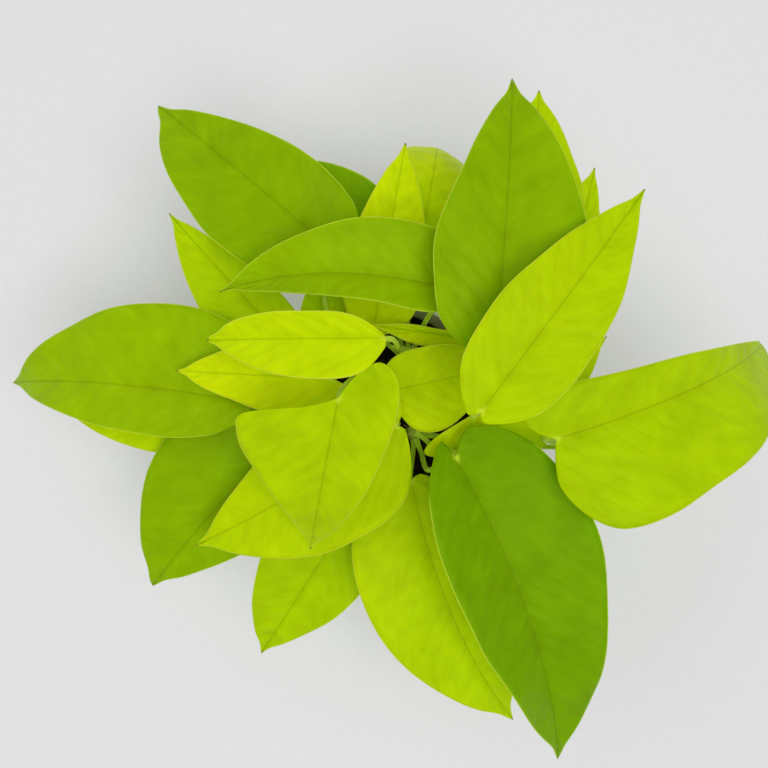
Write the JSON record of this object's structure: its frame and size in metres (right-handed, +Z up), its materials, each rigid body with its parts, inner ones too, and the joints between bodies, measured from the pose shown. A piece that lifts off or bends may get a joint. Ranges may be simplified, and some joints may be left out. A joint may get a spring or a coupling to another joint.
{
  "type": "potted pothos plant",
  "caption": "Neon pothos in a round white nursery pot: a full, spreading crown of lime heart-shaped leaves on slender stalks that rise from short vines in dark potting mix",
  "frame": {"origin": "centre of the pot's flat underside, where it rests on a table", "axes": "+Z up out of the pot; +X to the right and +Y to the back of the plant as seen from its front"},
  "size_m": [0.3382, 0.276, 0.1753],
  "materials": {
    "pot": "smooth white moulded polypropylene, satin gloss",
    "potting_mix": "moist dark peat and bark crumbs, matt",
    "vine": "smooth yellow-green living stem, satin",
    "leaf": "older lime-green waxy leaf skin, satin gloss with pale margin",
    "young_leaf": "younger yellow-lime waxy leaf skin, satin gloss",
    "stalk": "smooth bright yellow-green leaf stalk, satin"
  },
  "bodies": {
    "root": {"pot": "pot", "potting_mix": "potting_mix", "vine_1": "vine", "vine_2": "vine", "vine_3": "vine", "vine_4": "vine", "vine_5": "vine", "vine_6": "vine", "leaf_01": "leaf", "petiole_01": "stalk", "leaf_02": "leaf", "petiole_02": "stalk", "leaf_03": "young_leaf", "petiole_03": "stalk", "leaf_04": "young_leaf", "petiole_04": "stalk", "leaf_05": "leaf", "petiole_05": "stalk", "leaf_06": "leaf", "petiole_06": "stalk", "leaf_07": "young_leaf", "petiole_07": "stalk", "leaf_08": "leaf", "petiole_08": "stalk", "leaf_09": "young_leaf", "petiole_09": "stalk", "leaf_10": "young_leaf", "petiole_10": "stalk", "leaf_11": "young_leaf", "petiole_11": "stalk", "leaf_12": "young_leaf", "petiole_12": "stalk", "leaf_13": "leaf", "petiole_13": "stalk", "leaf_14": "young_leaf", "petiole_14": "stalk", "leaf_15": "young_leaf", "petiole_15": "stalk", "leaf_16": "leaf", "petiole_16": "stalk", "leaf_17": "young_leaf", "petiole_17": "stalk", "leaf_18": "young_leaf", "petiole_18": "stalk", "leaf_19": "young_leaf", "petiole_19": "stalk", "leaf_20": "young_leaf", "petiole_20": "stalk", "leaf_21": "young_leaf", "petiole_21": "stalk", "leaf_22": "young_leaf", "petiole_22": "stalk", "leaf_23": "young_leaf", "petiole_23": "stalk", "leaf_24": "young_leaf", "petiole_24": "stalk", "leaf_25": "leaf", "petiole_25": "stalk", "leaf_26": "young_leaf", "petiole_26": "stalk"}
  },
  "joints": []
}
